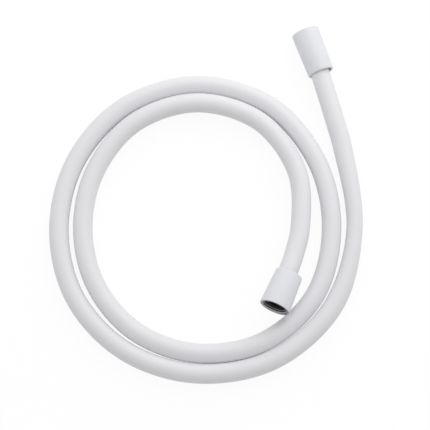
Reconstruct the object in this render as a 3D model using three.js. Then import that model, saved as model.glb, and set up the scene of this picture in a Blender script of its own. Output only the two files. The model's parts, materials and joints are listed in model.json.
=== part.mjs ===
// A smooth shower hose with a union nut on each end, lying on the floor in a loose coil.
// Millimetres, +Z up. The origin is on the floor, under the middle of the whole part.
// One end has a flared nut that takes a hand shower, the other a straight nut that screws on the supply.

import * as THREE from "three";

// Hose
const hoseDiameter = 15.6;
const hoseBore = 10.4;
const hoseSides = 12;
const hoseSteps = 84;

// Pipe thread of both nuts, G 1/2. The nuts hold its bore and lead-in, and the fine thread itself is left out.
const threadMajor = 20.955;
const threadMinor = 18.631;
const threadLeadIn = 1.2;
const threadMouthClearance = 0.15;

// Union nuts
const handsetNutLength = 30.3;
const handsetNutMouthDiameter = 24.5;
const handsetNutBackDiameter = 22;
const supplyNutLength = 37.1;
const supplyNutMouthDiameter = 22.8;
const supplyNutBackDiameter = 21.3;
const nutMouthEdge = 0.35;
const nutBackEdge = 1.1;
const nutEdgeSteps = 3;
const collarDepth = 12.5;
const collarThickness = 2.4;
const skirtLipLength = 1.8;

// Hose tail, ferrule and washer, the same at both ends. Each nut can slide a little way along its tail.
const nutPlay = 4.3;
const washerThickness = 2;
const washerBore = 12;
const flangeThickness = 2;
const neckDiameter = 14.3;
const tailBore = 7;
const barbCount = 3;
const barbPitch = 3;
const barbHeight = 0.45;
const tailTipLength = 1;
const ferruleWall = 0.6;
const ferruleLip = 0.8;

// Clearances
const seatGap = 0.3;
const threadClearance = 0.25;
const hoseClearance = 0.25;
const turningClearance = 0.4;

// Facets round the turned pieces
const nutSides = 36;
const turnedSides = 28;

// Where the nuts lie: the middle of each mouth rim, the bearing that it faces, anticlockwise from +X,
// and how far it looks up. The handset nut leans on the coil, and the supply nut lies on the floor.
const handsetMouth = [52.9, -88, 22];
const handsetBearing = -113.6;
const handsetRise = 9;
const supplyBearing = 109.95;
const supplyRise = angleOf(supplyNutMouthDiameter - supplyNutBackDiameter, 2 * supplyNutLength);
const supplyMouth = [
  80.75,
  142.47,
  (supplyNutMouthDiameter / 2) * Math.cos(THREE.MathUtils.degToRad(supplyRise)),
];

// How each nut hangs on its tail: how far it has slid back, and how far the tail leans in it, anticlockwise
// seen from above. The handset nut has slid all the way, and the supply nut is drawn up to the flange.
const handsetSlide = nutPlay;
const handsetLean = 3.6;
const supplySlide = 0;
const supplyLean = -2.1;

// The route of the hose. Each station of the coil is 30 degrees on from the last, anticlockwise from +X:
// its distance from the coil's centre, and how far the hose is lifted off the floor there.
// The first half turn leans on the flank of the turn outside it.
const coilCentre = [-8.7, -22.4];
const stationStep = 30;
const coilStations = [
  [83, 5.2],
  [93.6, 3.7],
  [102.55, 3],
  [104.4, 3.3],
  [101, 2.1],
  [94.2, 0.5],
  [90.2, 0.1],
  [91.15, 0],
  [94.8, 0],
  [98.9, 0],
  [104.6, 0],
  [108.1, 0],
  [108.35, 0],
  [112.5, 0],
  [119, 0],
  [120.35, 0],
  [117.35, 0],
  [112.2, 0],
  [109.3, 0],
  [110.2, 0],
  [112, 0],
  [115.7, 0],
  [120.9, 0],
  [124.8, 0],
  [126.65, 0.2],
  [136.6, 0.9],
];
// One point of the hose between each nut and the coil: x, y and the lift off the floor
const handsetRun = [68.6, -45.9, 7.1];
const supplyRun = [103.75, 68, 1.9];
// How far behind the flange of each tail the hose still runs straight
const handsetStraight = 26.5;
const supplyStraight = 26;

// Depths in a nut, measured from the rim of its mouth
const collarBack = collarDepth + collarThickness;

// Depths along a tail, measured from the back of its flange, where it bears on the nut's collar and leans.
// The barbs clear the flats of the hose's faceted bore, which lie nearer the axis than its corners.
const flangeFront = -flangeThickness;
const washerBack = flangeFront - seatGap;
const washerFront = washerBack - washerThickness;
const mostLean = Math.max(Math.abs(handsetLean), Math.abs(supplyLean));
const flangeDiameter = threadMinor - 2 * (threadClearance + swing(mostLean, -washerFront));
const neckBack = collarThickness + nutPlay + 2 * (seatGap + swing(mostLean, flangeDiameter / 2));
const ferruleFront = neckBack + seatGap;
const hoseEnd = ferruleFront + ferruleLip + seatGap;
const barbsFront = hoseEnd + seatGap;
const barbsBack = barbsFront + barbCount * barbPitch;
const tailBack = barbsBack + tailTipLength;
const barbDiameter = hoseBore * Math.cos(Math.PI / hoseSides) - 2 * hoseClearance;
const stemDiameter = barbDiameter - 2 * barbHeight;
const ferruleInside = hoseDiameter + 2 * hoseClearance;
const ferruleDiameter = ferruleInside + 2 * ferruleWall;

// Looks
const hoseFinish = new THREE.MeshStandardMaterial({ color: 0xececec, roughness: 0.55, metalness: 0 });
const paintFinish = new THREE.MeshStandardMaterial({ color: 0xe6e7ec, roughness: 0.45, metalness: 0 });
const tailFinish = new THREE.MeshStandardMaterial({ color: 0xb9a36a, roughness: 0.35, metalness: 1 });
const ferruleFinish = new THREE.MeshStandardMaterial({ color: 0xb8b9ba, roughness: 0.3, metalness: 1 });
const rubberFinish = new THREE.MeshStandardMaterial({ color: 0x1c1c1e, roughness: 0.8, metalness: 0 });

function angleOf(rise, run) {
  return THREE.MathUtils.radToDeg(Math.atan2(rise, run));
}

// How far a piece swings sideways at a distance from the point that it leans about
function swing(lean, distance) {
  return distance * Math.sin(THREE.MathUtils.degToRad(Math.abs(lean)));
}

// The unit vector at a bearing, looking up by an angle, both in degrees
function direction(bearing, rise) {
  const turn = THREE.MathUtils.degToRad(bearing);
  const up = THREE.MathUtils.degToRad(rise);
  return new THREE.Vector3(
    Math.cos(turn) * Math.cos(up),
    Math.sin(turn) * Math.cos(up),
    Math.sin(up),
  );
}

// One end of the hose, with the two directions that matter there: the nut's axis and the leaning tail's.
// The tail leans about the middle of its flange's back, which is flangeDepth behind the nut's rim.
function layEnd(name, mouth, bearing, rise, slide, lean) {
  const outward = direction(bearing, rise);
  const flangeDepth = collarDepth - seatGap - swing(lean, flangeDiameter / 2) - slide;
  const rim = new THREE.Vector3(...mouth);
  return {
    name,
    lean,
    flangeDepth,
    rim,
    outward,
    flange: rim.clone().addScaledVector(outward, -flangeDepth),
    tailOutward: direction(bearing + lean, rise),
  };
}

// A group whose +Y axis points along a direction, out of the nut's mouth
function placed(origin, outward, pieces) {
  const group = new THREE.Group();
  group.position.copy(origin);
  group.quaternion.setFromUnitVectors(new THREE.Vector3(0, 1, 0), outward);
  group.add(...pieces);
  return group;
}

// A turned piece. Its profile is a closed loop of [diameter, depth behind the group's origin], which runs
// forward along the bore and back along the outside. The lathe takes the loop the other way round.
function turned(name, profile, sides, finish) {
  const points = profile.map(([diameter, depth]) => new THREE.Vector2(diameter / 2, -depth));
  points.reverse();
  points.push(points[0].clone());
  const piece = new THREE.Mesh(new THREE.LatheGeometry(points, sides), finish);
  piece.name = name;
  return piece;
}

// A quarter round on the outer edge of the nut's back end, as [diameter, depth] points
function backRound(diameter, length) {
  const arc = [];
  for (let i = 0; i <= nutEdgeSteps; i += 1) {
    const angle = (Math.PI / 2) * (i / nutEdgeSteps);
    const inset = nutBackEdge * (1 - Math.cos(angle));
    arc.push([diameter - 2 * inset, length - nutBackEdge * (1 - Math.sin(angle))]);
  }
  return arc;
}

// A union nut: a tapered sleeve with the thread's bore in front, a collar that pulls on the tail's flange,
// and a skirt that hides the ferrule, with a lip at its back. Each bore clears the leaning piece inside it.
function unionNut(end, length, mouthDiameter, backDiameter) {
  const swungAt = (depth) => swing(end.lean, depth - end.flangeDepth);
  const threadMouth = threadMajor + 2 * threadMouthClearance;
  const collarBore = neckDiameter + 2 * (turningClearance + swungAt(collarBack));
  const skirtBore = ferruleDiameter + 2 * (turningClearance + swing(end.lean, tailBack));
  const lipBore = hoseDiameter + 2 * (seatGap + swungAt(length));
  const lipFront = length - skirtLipLength;
  const profile = [
    [lipBore, length],
    [lipBore, lipFront],
    [skirtBore, lipFront],
    [skirtBore, collarBack],
    [collarBore, collarBack],
    [collarBore, collarDepth],
    [threadMinor, collarDepth],
    [threadMinor, threadLeadIn],
    [threadMouth, 0],
    [mouthDiameter - 2 * nutMouthEdge, 0],
    [mouthDiameter, nutMouthEdge],
    ...backRound(backDiameter, length),
  ];
  return turned(`${end.name}_nut`, profile, nutSides, paintFinish);
}

// The tail: a flange that the washer seals on, a neck that the nut turns on, and a barbed stem in the hose.
function hoseTail(end) {
  const profile = [
    [tailBore, tailBack],
    [tailBore, flangeFront],
    [flangeDiameter, flangeFront],
    [flangeDiameter, 0],
    [neckDiameter, 0],
    [neckDiameter, neckBack],
    [stemDiameter, neckBack],
  ];
  for (let i = 0; i < barbCount; i += 1) {
    const front = barbsFront + i * barbPitch;
    profile.push([stemDiameter, front]);
    profile.push([barbDiameter, front]);
  }
  profile.push([stemDiameter, barbsBack]);
  profile.push([stemDiameter, tailBack]);
  return turned(`${end.name}_tail`, profile, turnedSides, tailFinish);
}

// The ferrule: a thin cup over the hose's end. Its lip is trapped between the tail's neck and the hose.
function ferrule(end) {
  const lipBore = barbDiameter + 2 * seatGap;
  const profile = [
    [ferruleInside, tailBack],
    [ferruleInside, ferruleFront + ferruleLip],
    [lipBore, ferruleFront + ferruleLip],
    [lipBore, ferruleFront],
    [ferruleDiameter, ferruleFront],
    [ferruleDiameter, tailBack],
  ];
  return turned(`${end.name}_ferrule`, profile, turnedSides, ferruleFinish);
}

function washer(end) {
  const profile = [
    [washerBore, washerBack],
    [washerBore, washerFront],
    [flangeDiameter, washerFront],
    [flangeDiameter, washerBack],
  ];
  return turned(`${end.name}_washer`, profile, turnedSides, rubberFinish);
}

// The points that the middle of the hose follows, from inside one nut to inside the other
function hoseRoute(handset, supply) {
  const behind = (end, depth) => end.flange.clone().addScaledVector(end.tailOutward, -depth);
  const lying = ([x, y, lift]) => new THREE.Vector3(x, y, hoseDiameter / 2 + lift);
  const coil = coilStations.map(([radius, lift], i) => {
    const bearing = THREE.MathUtils.degToRad(stationStep * i);
    const x = coilCentre[0] + radius * Math.cos(bearing);
    const y = coilCentre[1] + radius * Math.sin(bearing);
    return lying([x, y, lift]);
  });
  return [
    behind(handset, hoseEnd),
    behind(handset, tailBack),
    behind(handset, handsetStraight),
    lying(handsetRun),
    ...coil,
    lying(supplyRun),
    behind(supply, supplyStraight),
    behind(supply, tailBack),
    behind(supply, hoseEnd),
  ];
}

// The hose: a plain ring section swept along the route
function hoseTube(points) {
  const section = new THREE.Shape().absarc(0, 0, hoseDiameter / 2, 0, 2 * Math.PI);
  section.holes.push(new THREE.Path().absarc(0, 0, hoseBore / 2, 0, 2 * Math.PI, true));
  const geometry = new THREE.ExtrudeGeometry(section, {
    steps: hoseSteps,
    curveSegments: hoseSides / 2,
    extrudePath: new THREE.CatmullRomCurve3(points),
  });
  const piece = new THREE.Mesh(geometry, hoseFinish);
  piece.name = "hose";
  return piece;
}

// The assembly
const handset = layEnd("handset", handsetMouth, handsetBearing, handsetRise, handsetSlide, handsetLean);
const supply = layEnd("supply", supplyMouth, supplyBearing, supplyRise, supplySlide, supplyLean);
const part = new THREE.Group();
part.add(hoseTube(hoseRoute(handset, supply)));
part.add(
  placed(handset.rim, handset.outward, [
    unionNut(handset, handsetNutLength, handsetNutMouthDiameter, handsetNutBackDiameter),
  ]),
  placed(supply.rim, supply.outward, [
    unionNut(supply, supplyNutLength, supplyNutMouthDiameter, supplyNutBackDiameter),
  ]),
);
for (const end of [handset, supply]) {
  part.add(placed(end.flange, end.tailOutward, [washer(end), hoseTail(end), ferrule(end)]));
}

export default part;
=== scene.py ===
# %% [markdown]
# A white shower hose in a loose coil
#
# The mechanical model of this hose is already packed: its pieces, their sizes and the two joints where the
# nuts turn. This lesson dresses it. Each piece of the imported model keeps its place, and a finer mesh with a
# procedural finish takes over its looks. Everything is in metres, with +Z up.
#
# The frame comes first, because every later cell measures from it.

# %% Load the fixed frame
import json
import math

import bpy
import numpy as np
from mathutils import Matrix, Vector

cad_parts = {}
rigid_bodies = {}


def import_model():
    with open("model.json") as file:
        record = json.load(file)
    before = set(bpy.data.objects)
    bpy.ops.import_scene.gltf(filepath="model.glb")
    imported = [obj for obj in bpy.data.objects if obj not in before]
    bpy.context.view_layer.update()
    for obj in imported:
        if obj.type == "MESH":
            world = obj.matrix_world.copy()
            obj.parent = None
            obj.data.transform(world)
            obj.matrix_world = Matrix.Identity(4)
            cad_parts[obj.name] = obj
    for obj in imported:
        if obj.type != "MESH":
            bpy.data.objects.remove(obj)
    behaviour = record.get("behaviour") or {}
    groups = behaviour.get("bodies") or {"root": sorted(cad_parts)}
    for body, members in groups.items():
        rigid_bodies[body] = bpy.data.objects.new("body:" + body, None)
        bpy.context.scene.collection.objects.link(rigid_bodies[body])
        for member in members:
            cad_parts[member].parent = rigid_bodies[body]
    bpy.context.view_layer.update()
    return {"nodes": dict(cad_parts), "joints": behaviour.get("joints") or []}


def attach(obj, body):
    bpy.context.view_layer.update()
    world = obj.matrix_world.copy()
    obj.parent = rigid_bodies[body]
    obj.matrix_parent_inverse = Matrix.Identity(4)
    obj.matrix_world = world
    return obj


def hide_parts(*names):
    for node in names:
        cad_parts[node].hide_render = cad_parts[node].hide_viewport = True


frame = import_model()
scene = bpy.context.scene
MM = 0.001
print("frame nodes:", ", ".join(sorted(frame["nodes"])))

# %% [markdown]
# The camera
#
# The photograph looks down steeply, with the picture's up direction along +Y. Two things set the camera:
# the nuts' mouths are narrow ellipses, which gives the angle, and the near side of the coil is drawn about
# a twentieth larger than the far side, which gives the distance. A long lens follows from the distance and
# from how many pixels a metre takes at the aim point.

# %% Place the camera
PICTURE_PX = 430
SENSOR_MM = 36
METRES_PER_PX = 0.000806
ELEVATION = math.radians(77)
DISTANCE = 1.1
AIM = Vector((0.0066, -0.00905, 0))

lens_data = bpy.data.cameras.new("camera")
lens_data.sensor_width = SENSOR_MM
lens_data.lens = SENSOR_MM * DISTANCE / METRES_PER_PX / PICTURE_PX
camera = bpy.data.objects.new("camera", lens_data)
camera.location = AIM + DISTANCE * Vector((0, -math.cos(ELEVATION), math.sin(ELEVATION)))
camera.rotation_euler = (math.pi / 2 - ELEVATION, 0, 0)
scene.collection.objects.link(camera)
scene.camera = camera
scene.view_settings.view_transform = "Standard"
print("lens in mm:", round(lens_data.lens, 1))

# %% [markdown]
# Where the two ends lie
#
# Each nut turns about its own axis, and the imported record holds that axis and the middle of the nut's mouth,
# so both are read from the joints. A union nut sits loosely on its hose tail, though. It can slide a few
# millimetres, and the tail leans in it, so that behind the nut the hose stands nearer to one side. The
# handset nut has slid back all the way, which brings the washer up into its mouth. So an end has two axes:
# the nut's, with depths counted from the rim of its mouth, and the tail's, with depths counted from the back
# of the tail's flange, about which it leans. Both count towards the hose.

# %% Name the sizes that place a tail in its nut
THREAD_MINOR = 0.018631
THREAD_CLEARANCE = 0.00025
SEAT_GAP = 0.0003
COLLAR_DEPTH = 0.0125
COLLAR_THICKNESS = 0.0024
NUT_PLAY = 0.0043
FLANGE_THICKNESS = 0.002
WASHER_THICKNESS = 0.002
SLIDES = {"handset": NUT_PLAY, "supply": 0}
LEANS = {"handset": math.radians(3.6), "supply": math.radians(-2.1)}
MOST_LEAN = max(abs(lean) for lean in LEANS.values())


def swing(lean, distance):
    """How far a leaning piece swings sideways at a distance from the point that it leans about."""
    return distance * math.sin(abs(lean))


WASHER_BACK = -FLANGE_THICKNESS - SEAT_GAP
WASHER_FRONT = WASHER_BACK - WASHER_THICKNESS
FLANGE_RADIUS = THREAD_MINOR / 2 - THREAD_CLEARANCE - swing(MOST_LEAN, -WASHER_FRONT)
NECK_BACK = COLLAR_THICKNESS + NUT_PLAY + 2 * (SEAT_GAP + swing(MOST_LEAN, FLANGE_RADIUS))
print("flange diameter in mm:", round(2 * FLANGE_RADIUS / MM, 2))
print("neck length in mm:", round(NECK_BACK / MM, 2))

# %% Read the ends from the joints


class Axis:
    """A line through a piece: a point on it, the way out of the nut's mouth, and two directions across it."""

    def __init__(self, origin, outward):
        self.origin = origin
        self.outward = outward.normalized()
        self.side = self.outward.cross(Vector((0, 0, 1))).normalized()
        self.up = self.side.cross(self.outward)

    def at(self, depth):
        return self.origin - self.outward * depth

    def ring(self, radii, depth, angles):
        """Points round the axis at one depth. The radius may be a number or one number for each angle."""
        across = np.outer(radii * np.cos(angles), self.side) + np.outer(radii * np.sin(angles), self.up)
        return np.array(self.at(depth)) + across


class End:
    """One end of the hose, with the axis of its nut and the axis of its tail."""

    def __init__(self, name):
        joint = next(j for j in frame["joints"] if j["name"] == name + "_nut_spin")
        self.name = name
        self.nut_body = joint["child"]
        self.lean = LEANS[name]
        self.nut = Axis(Vector(joint["pos_m"]), Vector(joint["axis"]))
        self.flange_depth = COLLAR_DEPTH - SEAT_GAP - swing(self.lean, FLANGE_RADIUS) - SLIDES[name]
        leaning = Matrix.Rotation(self.lean, 3, "Z") @ self.nut.outward
        self.tail = Axis(self.nut.at(self.flange_depth), leaning)


handset_end = End("handset")
supply_end = End("supply")
HOSE_BODY = frame["joints"][0]["parent"]
for end in (handset_end, supply_end):
    print(end.name, "mouth in mm:", [round(v / MM, 1) for v in end.nut.origin])

# %% [markdown]
# The route of the hose
#
# A hose lies where its own stiffness and the floor let it. Here it makes a little over two loose turns, and
# the first half turn rides up on the flank of the turn outside it. The route was settled with the mechanical
# model, so its points are repeated: a station every 30 degrees round the coil, with its distance from the
# coil's centre and its lift off the floor, and a few points on the way into each nut. The mechanical hose is
# a twelve-sided tube, though, whose turns need room for its corners. Where two turns of the round hose touch,
# near 270 and 300 degrees, each is moved up to half a millimetre towards the other, and at 330 degrees both
# lie a fifth of a millimetre further out.
#
# A Catmull-Rom curve passes through all its points, which suits points read off a photograph. The centripetal
# kind is used, because it doesn't overshoot where short spans meet long ones, at the nuts.

# %% Lay out the route
HOSE_DIAMETER = 0.0156
FERRULE_LIP = 0.0008
BARB_PITCH = 0.003
BARB_COUNT = 3
TAIL_TIP_LENGTH = 0.001
FERRULE_FRONT = NECK_BACK + SEAT_GAP
HOSE_END_DEPTH = FERRULE_FRONT + FERRULE_LIP + SEAT_GAP
BARBS_FRONT = HOSE_END_DEPTH + SEAT_GAP
BARBS_BACK = BARBS_FRONT + BARB_COUNT * BARB_PITCH
TAIL_END_DEPTH = BARBS_BACK + TAIL_TIP_LENGTH
HANDSET_STRAIGHT = 0.0265
SUPPLY_STRAIGHT = 0.026
HANDSET_RUN = (0.0686, -0.0459, 0.0071)
SUPPLY_RUN = (0.10375, 0.068, 0.0019)
COIL_CENTRE = (-0.0087, -0.0224)
STATION_STEP = math.radians(30)
COIL_STATIONS = [
    (0.083, 0.0052), (0.0936, 0.0037), (0.10255, 0.003), (0.1044, 0.0033),
    (0.101, 0.0021), (0.0942, 0.0005), (0.0902, 0.0001), (0.09115, 0),
    (0.0948, 0), (0.0993, 0), (0.1049, 0), (0.1083, 0),
    (0.10835, 0), (0.1125, 0), (0.119, 0), (0.12035, 0),
    (0.11735, 0), (0.1122, 0), (0.1093, 0), (0.1102, 0),
    (0.112, 0), (0.1152, 0), (0.1208, 0), (0.125, 0),
    (0.12665, 0.0002), (0.1366, 0.0009),
]


def lying(x, y, lift):
    return np.array((x, y, lift + HOSE_DIAMETER / 2))


def station(index, radius, lift):
    bearing = STATION_STEP * index
    x = COIL_CENTRE[0] + radius * math.cos(bearing)
    y = COIL_CENTRE[1] + radius * math.sin(bearing)
    return lying(x, y, lift)


route_points = [np.array(handset_end.tail.at(d)) for d in (HOSE_END_DEPTH, TAIL_END_DEPTH, HANDSET_STRAIGHT)]
route_points.append(lying(*HANDSET_RUN))
route_points += [station(i, radius, lift) for i, (radius, lift) in enumerate(COIL_STATIONS)]
route_points.append(lying(*SUPPLY_RUN))
route_points += [np.array(supply_end.tail.at(d)) for d in (SUPPLY_STRAIGHT, TAIL_END_DEPTH, HOSE_END_DEPTH)]
print("route points:", len(route_points))

# %% Draw the centripetal Catmull-Rom curve through the points
SAMPLES_PER_SPAN = 40
RING_SPACING = 0.004


def tangent(before, here, after, step_in, step_out):
    """The slope at a point, weighed by the steps on its two sides."""
    return (here - before) / step_in - (after - before) / (step_in + step_out) + (after - here) / step_out


def smooth_line(points):
    """Points along the curve, close together."""
    padded = [2 * points[0] - points[1], *points, 2 * points[-1] - points[-2]]
    line = []
    for a, b, c, d in zip(padded, padded[1:], padded[2:], padded[3:]):
        ab, bc, cd = (math.sqrt(np.linalg.norm(q - p)) for p, q in ((a, b), (b, c), (c, d)))
        leave = tangent(a, b, c, ab, bc) * bc
        arrive = tangent(b, c, d, bc, cd) * bc
        for t in np.arange(SAMPLES_PER_SPAN) / SAMPLES_PER_SPAN:
            rest = 1 - t
            line.append(
                rest * rest * (1 + 2 * t) * b
                + t * t * (3 - 2 * t) * c
                + rest * rest * t * leave
                - t * t * rest * arrive
            )
    line.append(padded[-2])
    return np.array(line)


def evenly_spaced(line, spacing):
    """The same line with its points a fixed distance apart."""
    travelled = np.concatenate(([0], np.cumsum(np.linalg.norm(np.diff(line, axis=0), axis=1))))
    count = round(travelled[-1] / spacing)
    wanted = np.linspace(0, travelled[-1], count + 1)
    return np.stack([np.interp(wanted, travelled, line[:, k]) for k in range(3)], axis=1), travelled[-1]


hose_line, hose_length = evenly_spaced(smooth_line(route_points), RING_SPACING)
print("hose length in mm:", round(hose_length / MM, 1), "in", len(hose_line), "rings")

# %% [markdown]
# Meshes from rings
#
# The hose and every turned piece have one thing in common: they are stacks of rings. One helper takes the
# rings in order, joins each to the next, and closes the last onto the first. The loop of rings therefore runs
# down the outside and back up the bore, and the mesh is a closed solid with no caps to fit. Faces that meet
# at a sharp angle keep a hard edge, and the rest are shaded smooth.

# %% Join rings into a closed mesh
SHARP_EDGE = math.radians(35)


def ring_mesh(name, rings, materials, bands=0):
    """A closed mesh object from rings. bands picks the material slot of each band, or of each face."""
    count, sides = len(rings), len(rings[0])
    index = np.arange(count * sides).reshape(count, sides)
    below, beside = np.roll(index, -1, axis=0), np.roll(index, -1, axis=1)
    corner = np.roll(below, -1, axis=1)
    faces = np.stack([index, beside, corner, below], axis=2).reshape(-1, 4)
    mesh = bpy.data.meshes.new(name)
    mesh.from_pydata(np.concatenate(rings).tolist(), [], faces.tolist())
    for material in materials:
        mesh.materials.append(material)
    slots = np.broadcast_to(bands, (count, sides)).astype(np.int32)
    mesh.polygons.foreach_set("material_index", slots.ravel())
    mesh.shade_smooth()
    mesh.set_sharp_from_angle(angle=SHARP_EDGE)
    mesh.validate()
    piece = bpy.data.objects.new(name, mesh)
    scene.collection.objects.link(piece)
    return piece


def signed_volume(piece):
    """Six times the volume of a mesh: above zero when its faces look outwards."""
    mesh = piece.data
    mesh.calc_loop_triangles()
    places = np.zeros(len(mesh.vertices) * 3)
    mesh.vertices.foreach_get("co", places)
    corners = np.zeros(len(mesh.loop_triangles) * 3, np.int32)
    mesh.loop_triangles.foreach_get("vertices", corners)
    a, b, c = places.reshape(-1, 3)[corners.reshape(-1, 3)].transpose(1, 0, 2)
    return float(np.einsum("ij,ij->", a, np.cross(b, c)))


# %% [markdown]
# Shader maths as Python
#
# A finish is a tree of nodes, and a long tree is hard to read as a list of links. So a socket is wrapped in a
# small class whose operators add Math nodes: `0.4 + 0.1 * grain` is then a network of nodes. Every other node
# comes from one method that takes its type, its settings and its inputs. The materials and the world share
# that method. A finish adds a shader to it: numbers that are the same all over the surface go straight onto
# the shader's own sockets, and what changes over the surface is fed to them.

# %% Wrap a socket


class Signal:
    """A value that changes from point to point, with the operators that the finishes below use."""

    def __init__(self, nodes, socket):
        self.nodes = nodes
        self.socket = socket

    def maths(self, operation, other):
        return self.nodes.node("ShaderNodeMath", {"operation": operation}, {0: self, 1: other})

    def __add__(self, other):
        return self.maths("ADD", other)

    def __mul__(self, other):
        return self.maths("MULTIPLY", other)

    __radd__ = __add__
    __rmul__ = __mul__


# %% Wrap a tree of nodes


class Nodes:
    """The node tree of a material or of the world."""

    def __init__(self, tree):
        self.tree = tree

    def node(self, kind, settings, sockets, output=0):
        """Adds any node: its settings first, then the values or links of its sockets."""
        made = self.tree.nodes.new(kind)
        for setting, value in settings.items():
            if setting == "stops":
                self.set_stops(made.color_ramp, value)
            else:
                setattr(made, setting, value)
        for socket, value in sockets.items():
            self.connect(made.inputs[socket], value)
        return Signal(self, made.outputs[output])

    def set_stops(self, ramp, stops):
        while len(ramp.elements) < len(stops):
            ramp.elements.new(1)
        for element, (position, colour) in zip(ramp.elements, stops):
            element.position = position
            element.color = (*colour, 1)

    def connect(self, socket, value):
        if isinstance(value, Signal):
            self.tree.links.new(value.socket, socket)
        else:
            socket.default_value = value


# %% Wrap a finish


class Finish(Nodes):
    """A material with one main shader. Constants are given by the names of the shader's sockets."""

    def __init__(self, name, **constants):
        self.material = bpy.data.materials.new(name)
        self.material.use_nodes = True
        super().__init__(self.material.node_tree)
        self.feed(**constants)

    def feed(self, **inputs):
        shader = self.tree.nodes["Principled BSDF"]
        for socket, value in inputs.items():
            self.connect(shader.inputs[socket.replace("_", " ")], value)

    def place(self):
        """The point on the surface, in metres."""
        return self.node("ShaderNodeTexCoord", {}, {}, "Object")

    def noise(self, scale, detail, roughness=0.5):
        sockets = {"Vector": self.place(), "Scale": scale, "Detail": detail, "Roughness": roughness}
        return self.node("ShaderNodeTexNoise", {}, sockets, "Fac")

    def tint(self, amount, dark, light):
        """A colour between two others."""
        return self.node("ShaderNodeValToRGB", {"stops": [(0, dark), (1, light)]}, {"Fac": amount}, "Color")

    def bump(self, height, distance, strength):
        return self.node("ShaderNodeBump", {}, {"Height": height, "Distance": distance, "Strength": strength})


# %% [markdown]
# The hose's finish
#
# The hose is soft plastic, extruded smooth and slightly matt. Light spreads wide on it, so its roughness is
# high, but it isn't chalk: a faint sheen follows the top of each turn. Up close such plastic has a very fine
# grain from the extruder, and its white drifts a little along the length. Both are noise: one fine, for the
# grain and the roughness, and one broad, for the white. An image would need the tube unwrapped and would show
# a seam along it, and noise in space has neither trouble.

# %% Make the hose's plastic
plastic = Finish("hose_plastic", IOR=1.5)
drift = plastic.noise(scale=22, detail=3)
grain = plastic.noise(scale=1900, detail=3, roughness=0.6)
plastic.feed(
    Base_Color=plastic.tint(drift, (0.785, 0.78, 0.805), (0.815, 0.81, 0.835)),
    Roughness=0.44 + 0.12 * grain,
    Normal=plastic.bump(grain, distance=0.00003, strength=0.5),
)
print("made", plastic.material.name)

# %% [markdown]
# The hose itself
#
# A tube follows the route. Blender's curves can draw one with a round bevel, but with no bore and no oval
# stretch, so it is built from rings here. The rings mustn't twist from one to the next, so each ring's
# directions are carried over from the last and only made square to the new direction, which is called
# parallel transport. Rings for the outside run one way, and rings for the bore run back, which leaves the
# tube hollow as the real one is.
#
# Where the outer turn straightens towards the supply, the photograph shows the hose narrower by up to a
# sixth, for some centimetres. A soft tube that was kept in a coil can go oval, so that is how it is drawn
# here: the rings are narrowed sideways and keep their height. The share swells and fades as a squared cosine,
# which leaves no kink at its ends.

# %% Sweep the tube
HOSE_BORE = 0.0104
HOSE_SIDES = 56
OVAL_STATION = 24
OVAL_SHARE = 0.17
OVAL_REACH_BEFORE = 0.066
OVAL_REACH_AFTER = 0.085


def swept_rings(line, radius, sides):
    """Rings square to a line, without twist."""
    angles = np.linspace(0, 2 * math.pi, sides, endpoint=False)
    ahead = np.gradient(line, axis=0)
    ahead /= np.linalg.norm(ahead, axis=1)[:, None]
    across = np.cross(ahead[0], (0, 0, 1))
    rings = []
    for point, way in zip(line, ahead):
        across = across - (across @ way) * way
        across /= np.linalg.norm(across)
        over = np.cross(way, across)
        rings.append(point + radius * (np.outer(np.cos(angles), across) + np.outer(np.sin(angles), over)))
    return rings


def oval_shares(line, spacing):
    """How much each ring is narrowed: most at one station, and nothing beyond the oval's reach."""
    middle = np.argmin(np.linalg.norm(line - station(OVAL_STATION, *COIL_STATIONS[OVAL_STATION]), axis=1))
    away = (np.arange(len(line)) - middle) * spacing
    reach = np.where(away < 0, OVAL_REACH_BEFORE, OVAL_REACH_AFTER)
    return OVAL_SHARE * np.cos(math.pi / 2 * np.clip(away / reach, -1, 1)) ** 2


def narrowed(rings, line, shares):
    """The same rings, narrowed sideways and not in height."""
    across = np.cross(np.gradient(line, axis=0), (0, 0, 1))
    across /= np.linalg.norm(across, axis=1)[:, None]
    return [
        ring - share * np.outer((ring - point) @ side, side)
        for ring, point, side, share in zip(rings, line, across, shares)
    ]


shares = oval_shares(hose_line, RING_SPACING)
outside = narrowed(swept_rings(hose_line, HOSE_DIAMETER / 2, HOSE_SIDES), hose_line, shares)
inside = narrowed(swept_rings(hose_line, HOSE_BORE / 2, HOSE_SIDES), hose_line, shares)
print("narrowest width in mm:", round(HOSE_DIAMETER * (1 - shares.max()) / MM, 1))
hose = ring_mesh("hose_tube", outside + inside[::-1], [plastic.material])
print("hose faces:", len(hose.data.polygons), "and they look outwards:", signed_volume(hose) > 0)

# %% [markdown]
# The nuts' finishes
#
# The nuts are metal under satin paint, a touch bluer than the hose. Sprayed paint is never quite flat, so it
# gets a broad, shallow ripple. The paint stops at the rim: the rim's face and the thread are bare, plated
# metal. The thread's grooves get a dark painted shade, a colour that stands in for the shade deep in them.

# %% Make the nuts' paint, bare metal and the thread grooves' painted shade
paint = Finish("nut_paint", IOR=1.5)
ripple = paint.noise(scale=700, detail=2)
tone = paint.noise(scale=60, detail=2)
paint.feed(
    Base_Color=paint.tint(tone, (0.755, 0.767, 0.80), (0.785, 0.797, 0.83)),
    Roughness=0.52 + 0.12 * ripple,
    Normal=paint.bump(ripple, distance=0.00006, strength=0.3),
)

thread_metal = Finish("bare_thread", Metallic=0.6)
scuff = thread_metal.noise(scale=500, detail=1)
thread_metal.feed(
    Base_Color=thread_metal.tint(scuff, (0.33, 0.33, 0.335), (0.37, 0.37, 0.375)),
    Roughness=0.42 + 0.06 * scuff,
)

# Painted shade: a near-black colour for the thread's grooves, standing in for the shade that falls in them.
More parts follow.
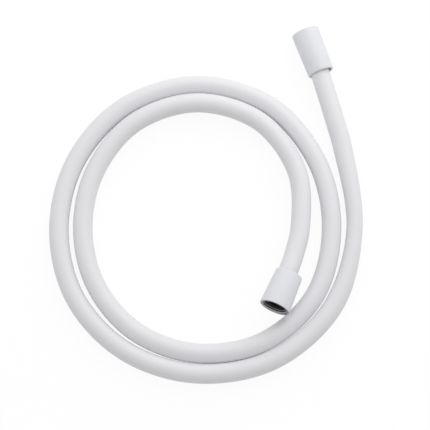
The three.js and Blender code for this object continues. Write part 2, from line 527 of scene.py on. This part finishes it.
groove_shade = Finish("thread_grease", Specular_IOR_Level=0.3)
groove_shade_noise = groove_shade.noise(scale=500, detail=1)
groove_shade.feed(
    Base_Color=groove_shade.tint(groove_shade_noise, (0.1, 0.1, 0.102), (0.12, 0.12, 0.122)),
    Roughness=0.5 + 0.1 * groove_shade_noise,
)

print("made", ", ".join(finish.material.name for finish in (paint, thread_metal, groove_shade)))

# %% [markdown]
# The finishes inside the nuts
#
# The tails are turned from brass and the ferrules are pressed from steel, so fine tool marks break up their
# shine. The washers are black rubber, which is dull and has hardly any gloss.

# %% Make the brass, the steel and the rubber
brass = Finish("turned_brass", Metallic=1.0)
lathe_marks = brass.noise(scale=2400, detail=2)
brass.feed(
    Base_Color=brass.tint(lathe_marks, (0.60, 0.47, 0.25), (0.72, 0.59, 0.34)),
    Roughness=0.25 + 0.2 * lathe_marks,
)

steel = Finish("pressed_steel", Metallic=1.0)
brushing = steel.noise(scale=1800, detail=2)
steel.feed(
    Base_Color=steel.tint(brushing, (0.50, 0.50, 0.51), (0.62, 0.62, 0.63)),
    Roughness=0.25 + 0.2 * brushing,
)

rubber = Finish("washer_rubber", Specular_IOR_Level=0.15)
bloom = rubber.noise(scale=900, detail=3)
rubber.feed(
    Base_Color=rubber.tint(bloom, (0.012, 0.012, 0.013), (0.018, 0.018, 0.019)),
    Roughness=0.7 + 0.2 * bloom,
    Normal=rubber.bump(bloom, distance=0.00002, strength=0.2),
)
print("made", ", ".join(finish.material.name for finish in (brass, steel, rubber)))

# %% [markdown]
# Turned pieces
#
# A turned piece is a profile spun round the axis. The Screw modifier would spin it too, but only with one
# radius all the way round, and a thread needs more, so the same rings serve. A profile here is a list of
# (radius, depth) points, with the depth counted from where its axis starts: the nut's mouth, or the back of
# the tail's flange. A rounded edge is an arc of a few points, worked out rather than typed.

# %% Spin a profile
TURNED_SIDES = 96
ANGLES = np.linspace(0, 2 * math.pi, TURNED_SIDES, endpoint=False)
SMALL_EDGE_STEPS = 3


def arc(centre_radius, centre_depth, size, start, stop, steps=SMALL_EDGE_STEPS):
    """Points on a rounded edge. An angle of 0 degrees points away from the axis, and 90 to the hose."""
    turns = np.radians(np.linspace(start, stop, steps + 1))
    return [(centre_radius + size * math.cos(a), centre_depth + size * math.sin(a)) for a in turns]


def turned(name, axis, profile, materials, bands=0):
    """A closed piece from a profile whose last point joins its first."""
    rings = [axis.ring(radius, depth, ANGLES) for radius, depth in profile]
    return ring_mesh(name, rings, materials, bands)


# %% [markdown]
# The thread
#
# Shower fittings share the G 1/2 pipe thread: 14 threads to the inch, with flanks at 55 degrees and rounded
# crests and roots. A helical sweep with a boolean cut would make it, but booleans leave ragged triangles on
# such a fine shape. Instead the bore is a stack of rings whose radius depends on both the depth and the
# angle: one turn of angle moves the groove by one pitch, and the helix appears by itself. The mouth's lead-in
# cone wins over the thread where it is wider, and the thread runs out before the collar. The same sums tell
# which faces lie in the groove, and those get a painted shade: a dark colour in place of the shade in the
# groove.

# %% Work out the threaded bore
THREAD_MAJOR = 0.020955
THREAD_PITCH = 0.001814
THREAD_LEAD_IN = 0.0012
THREAD_MOUTH_CLEARANCE = 0.00015
THREAD_RUN_OUT = 0.0012
THREAD_START = 0.18
RINGS_PER_PITCH = 14
FLANK_STEEPNESS = 1.5


def thread_radius(depth):
    """The thread's radius all round at one depth, with the helix in it."""
    phase = (depth / THREAD_PITCH + ANGLES / (2 * math.pi) - THREAD_START) % 1
    zigzag = 1 - 4 * np.abs(phase - 0.5)
    wave = np.sin(math.pi / 2 * np.clip(FLANK_STEEPNESS * zigzag, -1, 1))
    height = (THREAD_MAJOR - THREAD_MINOR) / 2
    fading = min(1, (COLLAR_DEPTH - depth) / THREAD_RUN_OUT)
    return THREAD_MINOR / 2 + height * (1 + wave) / 2 * max(0, fading)


def cone_radius(depth):
    """The radius of the lead-in cone at one depth."""
    mouth = THREAD_MAJOR / 2 + THREAD_MOUTH_CLEARANCE
    return mouth - (mouth - THREAD_MINOR / 2) * min(1, depth / THREAD_LEAD_IN)


def in_groove(depth):
    """Which points round the bore lie in the thread's groove, which is coloured with a painted shade."""
    thread = thread_radius(depth)
    pitch_radius = (THREAD_MAJOR + THREAD_MINOR) / 4
    return (thread > pitch_radius) & (thread > cone_radius(depth))


BORE_DEPTHS = np.linspace(COLLAR_DEPTH, 0, round(COLLAR_DEPTH / THREAD_PITCH * RINGS_PER_PITCH) + 1)
threaded_bore = [(np.maximum(thread_radius(depth), cone_radius(depth)), depth) for depth in BORE_DEPTHS]
print("rings in a threaded bore:", len(threaded_bore))

# %% [markdown]
# The union nuts
#
# One nut is flared towards its mouth and takes the hand shower. The other is longer and nearly straight, and
# screws on the supply. Apart from those sizes they are alike: a thin rim, the thread, a collar that pulls
# on the tail's flange, and a skirt that hides the ferrule. Their edges are softly rounded, which shows as a
# thin bright line at the rim.

# %% Name the nuts' sizes
NECK_DIAMETER = 0.0143
TURNING_CLEARANCE = 0.0004
HOSE_CLEARANCE = 0.00025
FERRULE_WALL = 0.0006
SKIRT_LIP_LENGTH = 0.0018
MOUTH_EDGE = 0.00035
BACK_EDGE = 0.0011
SKIRT_EDGE = 0.0002
NUT_EDGE_STEPS = 6
COLLAR_BACK = COLLAR_DEPTH + COLLAR_THICKNESS
FERRULE_RADIUS = HOSE_DIAMETER / 2 + HOSE_CLEARANCE + FERRULE_WALL
print("ferrule diameter in mm:", round(2 * FERRULE_RADIUS / MM, 2))

# %% Build the nuts
# The third slot is painted shade: a dark colour for the thread's grooves.
PAINTED, BARE, GROOVE_SHADE = 0, 1, 2


def union_nut(end, length, mouth_diameter, back_diameter):
    mouth, back = mouth_diameter / 2, back_diameter / 2
    collar = NECK_DIAMETER / 2 + TURNING_CLEARANCE + swing(end.lean, COLLAR_BACK - end.flange_depth)
    skirt = FERRULE_RADIUS + TURNING_CLEARANCE + swing(end.lean, TAIL_END_DEPTH)
    lip = HOSE_DIAMETER / 2 + SEAT_GAP + swing(end.lean, length - end.flange_depth)
    outer = arc(mouth - MOUTH_EDGE, MOUTH_EDGE, MOUTH_EDGE, -90, 0, NUT_EDGE_STEPS)
    outer += arc(back - BACK_EDGE, length - BACK_EDGE, BACK_EDGE, 0, 90, NUT_EDGE_STEPS)
    outer += arc(lip + SKIRT_EDGE, length - SKIRT_EDGE, SKIRT_EDGE, 90, 180)
    inner = [(lip, length - SKIRT_LIP_LENGTH), (skirt, length - SKIRT_LIP_LENGTH), (skirt, COLLAR_BACK)]
    inner += [(collar, COLLAR_BACK), (collar, COLLAR_DEPTH)]
    plain = np.array([PAINTED] * len(outer) + [BARE] * len(inner))
    # The thread's grooves get the painted shade, and its crests bare metal.
    thread = [np.where(in_groove(depth), GROOVE_SHADE, BARE) for depth in BORE_DEPTHS]
    bands = np.vstack([np.repeat(plain[:, None], TURNED_SIDES, axis=1), *thread])
    materials = [paint.material, thread_metal.material, groove_shade.material]
    nut = turned(end.name + "_union_nut", end.nut, outer + inner + threaded_bore, materials, bands)
    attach(nut, end.nut_body)
    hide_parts(end.name + "_nut")
    print(nut.name, "faces:", len(nut.data.polygons), "and they look outwards:", signed_volume(nut) > 0)
    return nut


handset_nut = union_nut(handset_end, length=0.0303, mouth_diameter=0.0245, back_diameter=0.022)
supply_nut = union_nut(supply_end, length=0.0371, mouth_diameter=0.0228, back_diameter=0.0213)

# %% [markdown]
# Inside each nut
#
# The mouth shows a black rubber washer. Through it lie the flange and the bore of the tail, and in the dark
# gap behind the nut lies the edge of the ferrule. These pieces are the same at both ends, so each is a
# function, and a loop makes both sets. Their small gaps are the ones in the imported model.

# %% Name the sizes inside a nut
WASHER_BORE = 0.012
TAIL_BORE = 0.007
BARB_HEIGHT = 0.00045
SMALL_EDGE = 0.00025
BARB_RADIUS = HOSE_BORE / 2 - 2 * HOSE_CLEARANCE
STEM_RADIUS = BARB_RADIUS - BARB_HEIGHT
print("barb diameter in mm:", round(2 * BARB_RADIUS / MM, 2))

# %% Draw a washer, a tail and a ferrule


def rounded_ring(inner, outer, front, back):
    """The section of a plain ring with its four edges slightly rounded, from the front of the bore."""
    edge = SMALL_EDGE
    section = arc(inner + edge, front + edge, edge, 180, 270)
    section += arc(outer - edge, front + edge, edge, 270, 360)
    section += arc(outer - edge, back - edge, edge, 0, 90)
    section += arc(inner + edge, back - edge, edge, 90, 180)
    return section


def washer(end):
    section = rounded_ring(WASHER_BORE / 2, FLANGE_RADIUS, WASHER_FRONT, WASHER_BACK)
    return turned(end.name + "_sealing_washer", end.tail, section, [rubber.material])


def tail(end):
    front = -FLANGE_THICKNESS
    section = [(TAIL_BORE / 2, TAIL_END_DEPTH), (TAIL_BORE / 2, front + SMALL_EDGE)]
    section += [(TAIL_BORE / 2 + SMALL_EDGE, front)]
    section += arc(FLANGE_RADIUS - SMALL_EDGE, front + SMALL_EDGE, SMALL_EDGE, 270, 360)
    section += [(FLANGE_RADIUS, 0), (NECK_DIAMETER / 2, 0)]
    section += [(NECK_DIAMETER / 2, NECK_BACK), (STEM_RADIUS, NECK_BACK)]
    for i in range(BARB_COUNT):
        barb = BARBS_FRONT + i * BARB_PITCH
        section += [(STEM_RADIUS, barb), (BARB_RADIUS, barb + SMALL_EDGE)]
    section += [(STEM_RADIUS, BARBS_BACK), (STEM_RADIUS, TAIL_END_DEPTH)]
    return turned(end.name + "_hose_tail", end.tail, section, [brass.material])


def ferrule(end):
    inner = HOSE_DIAMETER / 2 + HOSE_CLEARANCE
    lip = BARB_RADIUS + 2 * SEAT_GAP
    floor_depth = FERRULE_FRONT + FERRULE_LIP
    section = [(inner, TAIL_END_DEPTH), (inner, floor_depth), (lip, floor_depth), (lip, FERRULE_FRONT)]
    section += arc(FERRULE_RADIUS - SMALL_EDGE, FERRULE_FRONT + SMALL_EDGE, SMALL_EDGE, 270, 360)
    section += [(FERRULE_RADIUS, TAIL_END_DEPTH)]
    return turned(end.name + "_crimp_ferrule", end.tail, section, [steel.material])


# %% Build them at both ends
fixed_pieces = {"handset": [], "supply": []}
for end in (handset_end, supply_end):
    for build, node, slot in (
        (washer, "washer", "washer_rubber"),
        (tail, "tail", "tail_brass"),
        (ferrule, "ferrule", "ferrule_steel"),
    ):
        piece = build(end)
        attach(piece, HOSE_BODY)
        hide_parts(end.name + "_" + node)
        fixed_pieces[end.name].append(piece)
        print(piece.name, "faces look outwards:", signed_volume(piece) > 0)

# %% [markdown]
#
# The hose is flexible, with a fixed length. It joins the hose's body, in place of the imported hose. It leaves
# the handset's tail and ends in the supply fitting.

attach(hose, HOSE_BODY)
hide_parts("hose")
tuple(handset_end.tail.at(HOSE_END_DEPTH))
print("cord length in m:", round(hose_length, 3))

# %% [markdown]
# Floor, world and lamps
#
# The photograph has a pure white ground and no cast shadow to speak of. A floor that is only bright would
# have to be overlit, and the hose with it. So the floor and the world look white only to the camera and to
# rays from a mirror or glass. To every other ray the floor is a plain pale grey and the world is dimmer. Part
# of what the camera sees of the floor is still lit, so a soft shadow stays under the hose.
#
# The light comes from the far side of the picture, half way up and from the right: the upper right flank of
# each turn is bright and the lower left flank is shaded. A large lamp does that without hard edges. The upper
# left flanks are paler in the photograph than one lamp leaves them, so a weak second one fills them.

# %% Say what only the camera sees
WHITE = (1, 1, 1, 1)
LOOKING_RAYS = ("Is Camera Ray", "Is Glossy Ray", "Is Transmission Ray")


def seen_directly(nodes):
    """1 for rays from the camera, a mirror or glass, and 0 for rays that only carry light."""
    camera_ray, *others = (nodes.node("ShaderNodeLightPath", {}, {}, ray) for ray in LOOKING_RAYS)
    seen = camera_ray
    for ray in others:
        seen = seen.maths("MAXIMUM", ray)
    return seen


def mixed(nodes, lighting, looking):
    """One shader for the rays that carry light, and another for the rays that look."""
    return nodes.node("ShaderNodeMixShader", {}, {0: seen_directly(nodes), 1: lighting, 2: looking})


def shader(nodes, kind, colour, **sockets):
    return nodes.node(kind, {}, {"Color": colour, **sockets})


print("rays that look:", ", ".join(LOOKING_RAYS))

# %% Lay the floor
FLOOR_SIZE = 12
FLOOR_DROP = 0.0001
FLOOR_GREY = 0.85
FLOOR_LIT_SHARE = 0.1
FLOOR_GLOW = 0.91

ground = Finish("ground")
grey = shader(ground, "ShaderNodeBsdfDiffuse", (FLOOR_GREY, FLOOR_GREY, FLOOR_GREY, 1))
lit = shader(ground, "ShaderNodeBsdfDiffuse", (FLOOR_LIT_SHARE, FLOOR_LIT_SHARE, FLOOR_LIT_SHARE, 1))
glow = shader(ground, "ShaderNodeEmission", WHITE, Strength=FLOOR_GLOW)
lit_and_glowing = ground.node("ShaderNodeAddShader", {}, {0: lit, 1: glow})
ground.connect(ground.tree.nodes["Material Output"].inputs["Surface"], mixed(ground, grey, lit_and_glowing))

half = FLOOR_SIZE / 2
corners = [(x * half, y * half, -FLOOR_DROP) for x, y in ((-1, -1), (1, -1), (1, 1), (-1, 1))]
floor_mesh = bpy.data.meshes.new("floor")
floor_mesh.from_pydata(corners, [], [(0, 1, 2, 3)])
floor_mesh.materials.append(ground.material)
floor = bpy.data.objects.new("floor", floor_mesh)
scene.collection.objects.link(floor)
print("floor side in m:", FLOOR_SIZE)

# %% Set the world
WORLD_LEVEL = 0.6

world = bpy.data.worlds.new("studio")
world.use_nodes = True
scene.world = world
sky = Nodes(world.node_tree)
ambient = shader(sky, "ShaderNodeBackground", WHITE, Strength=WORLD_LEVEL)
white = shader(sky, "ShaderNodeBackground", WHITE, Strength=1)
sky.connect(sky.tree.nodes["World Output"].inputs["Surface"], mixed(sky, ambient, white))
print("world level:", WORLD_LEVEL)

# %% Hang the lamps
LAMPS = {
    "key": {"place": (0.47, 0.78, 0.72), "size": 1.4, "power": 6.8},
    "fill": {"place": (-0.6, 0.5, 0.72), "size": 1.1, "power": 1.4},
}

for name, settings in LAMPS.items():
    lamp_data = bpy.data.lights.new(name, "AREA")
    lamp_data.shape = "DISK"
    lamp_data.size = settings["size"]
    lamp_data.energy = settings["power"]
    lamp = bpy.data.objects.new(name, lamp_data)
    lamp.location = settings["place"]
    lamp.rotation_euler = (AIM - lamp.location).to_track_quat("-Z", "Y").to_euler()
    scene.collection.objects.link(lamp)
    print(name, "lamp distance in m:", round((AIM - lamp.location).length, 2))

# %% [markdown]
# Light in the seams
#
# Where two turns touch, light gets into the seam only by going back and forth between the two white sides.
# Blender follows such light for four diffuse bounces unless it is told otherwise, which is plenty for a dark
# object, but leaves the seams of a white one too dark.

# %% Follow more bounces
DIFFUSE_BOUNCES = 12
scene.cycles.diffuse_bounces = DIFFUSE_BOUNCES
print("diffuse bounces:", scene.cycles.diffuse_bounces)
